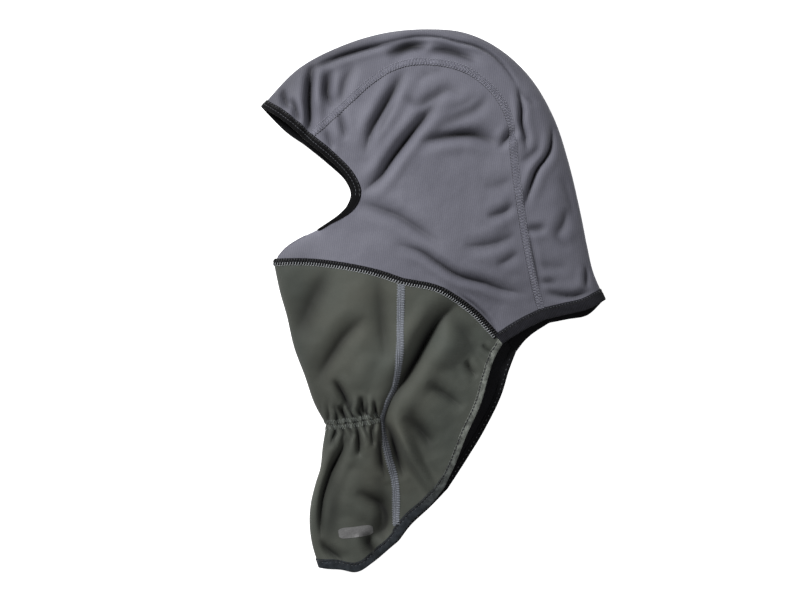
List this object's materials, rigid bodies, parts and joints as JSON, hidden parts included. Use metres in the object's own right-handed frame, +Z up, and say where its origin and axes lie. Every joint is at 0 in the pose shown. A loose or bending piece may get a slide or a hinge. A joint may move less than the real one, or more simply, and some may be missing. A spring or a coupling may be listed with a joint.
{
  "type": "balaclava",
  "caption": "Long-neck balaclava lying flat on its side: jersey hood with a face opening, softshell throat and neck gathered by an inner elastic, bound edges.",
  "frame": {"origin": "on the surface it lies on, under the middle of the whole garment", "axes": "+Z up out of the wearer's left side, +Y towards the crown, -X towards the face"},
  "size_m": [0.2894, 0.4542, 0.0294],
  "materials": {
    "jersey": "matte stretch jersey with a fine rib",
    "softshell": "matte smooth softshell",
    "face_binding": "matte folded stretch tape",
    "nape_band": "matte knit band",
    "hem_band": "matte folded softshell band",
    "elastic": "matte woven elastic",
    "seam_grey": "satin polyester thread",
    "seam_tonal": "satin polyester thread, tone on tone",
    "stitching": "satin polyester thread",
    "reflective_patch": "satin reflective film"
  },
  "bodies": {
    "root": {"hood_side_left": "jersey", "hood_side_right": "jersey", "crown_panel": "jersey", "chin_panel": "softshell", "neck_side_left": "softshell", "neck_side_right": "softshell", "face_binding": "face_binding", "nape_binding": "nape_band", "neck_hem_binding": "hem_band", "throat_elastic": "elastic", "crown_seam_left": "seam_tonal", "crown_seam_right": "seam_tonal", "chin_seam": "stitching", "neck_seam_left": "seam_grey", "neck_seam_right": "seam_grey", "nose_seam": "seam_tonal", "face_binding_stitching": "stitching", "nape_binding_stitching": "stitching", "neck_hem_stitching": "stitching", "throat_elastic_stitching": "stitching", "reflective_patch": "reflective_patch"}
  },
  "joints": []
}
